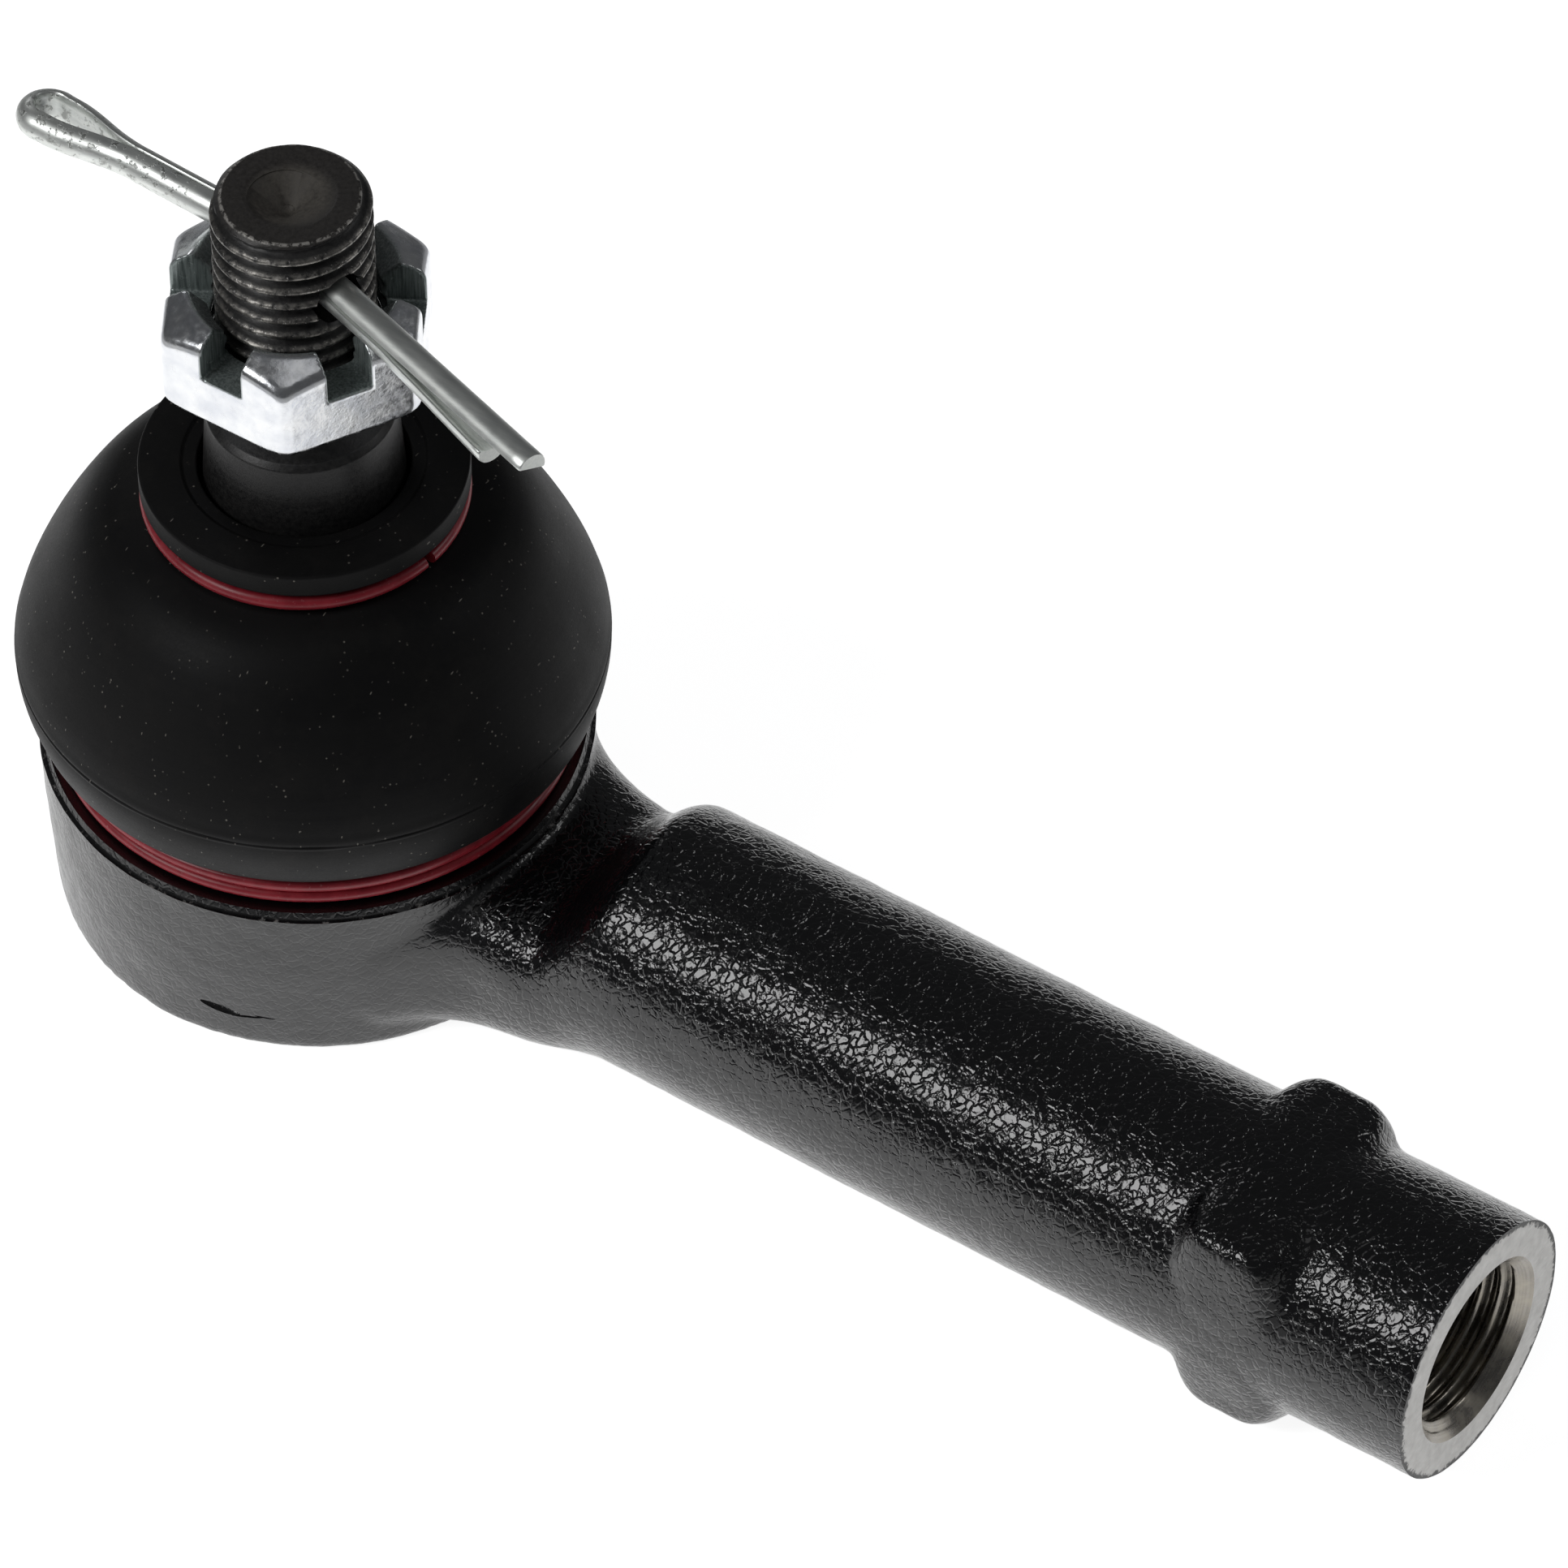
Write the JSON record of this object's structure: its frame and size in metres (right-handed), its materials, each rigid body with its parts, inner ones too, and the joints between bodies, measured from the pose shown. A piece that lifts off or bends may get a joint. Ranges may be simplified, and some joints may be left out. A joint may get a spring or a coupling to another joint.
{
  "type": "tie rod end",
  "caption": "Outer steering tie rod end: forged ball socket on an internally threaded shank, with a tapered ball stud, castle nut, cotter pin and clipped rubber dust boot.",
  "frame": {"origin": "centre of the end cover's outer flat face, on the axis of the ball stud", "axes": "+Z along the ball stud towards its threaded end, +X along the shank towards its bored end"},
  "size_m": [0.1308, 0.0448, 0.0711],
  "materials": {
    "black_paint": "glossy black paint over a rough forged skin",
    "cover_zinc": "zinc plated pressed steel",
    "spring_steel": "oiled spring steel",
    "plate_steel": "pressed steel",
    "bearing_plastic": "natural acetal, greased",
    "stud_phosphate": "dark phosphate",
    "nut_zinc": "bright zinc plate",
    "pin_zinc": "satin zinc wire",
    "boot_rubber": "satin moulded rubber",
    "ring_steel": "black coated steel",
    "clip_red": "deep red coated wire"
  },
  "bodies": {
    "housing": {"housing": "black_paint", "end_cover": "cover_zinc", "preload_spring": "spring_steel", "pressure_plate": "plate_steel", "boot_lower_clip": "clip_red"},
    "bearing": {"upper_bearing": "bearing_plastic", "lower_bearing": "bearing_plastic"},
    "collar": {"dust_boot": "boot_rubber", "boot_collar_ring": "ring_steel", "boot_upper_clip": "clip_red"},
    "stud": {"ball_stud": "stud_phosphate", "castle_nut": "nut_zinc", "cotter_pin": "pin_zinc"}
  },
  "joints": [
    {"name": "swing_direction", "type": "hinge", "parent": "housing", "child": "bearing", "pos_m": [0, 0, 0.0135], "axis": [0, 0, 1], "continuous": true},
    {"name": "stud_swing", "type": "hinge", "parent": "bearing", "child": "collar", "pos_m": [0, 0, 0.0135], "axis": [0, 1, 0], "range_deg": [-22, 22], "deforming": ["dust_boot"]},
    {"name": "stud_spin", "type": "hinge", "parent": "collar", "child": "stud", "pos_m": [0, 0, 0.0135], "axis": [0, 0, 1], "continuous": true}
  ]
}
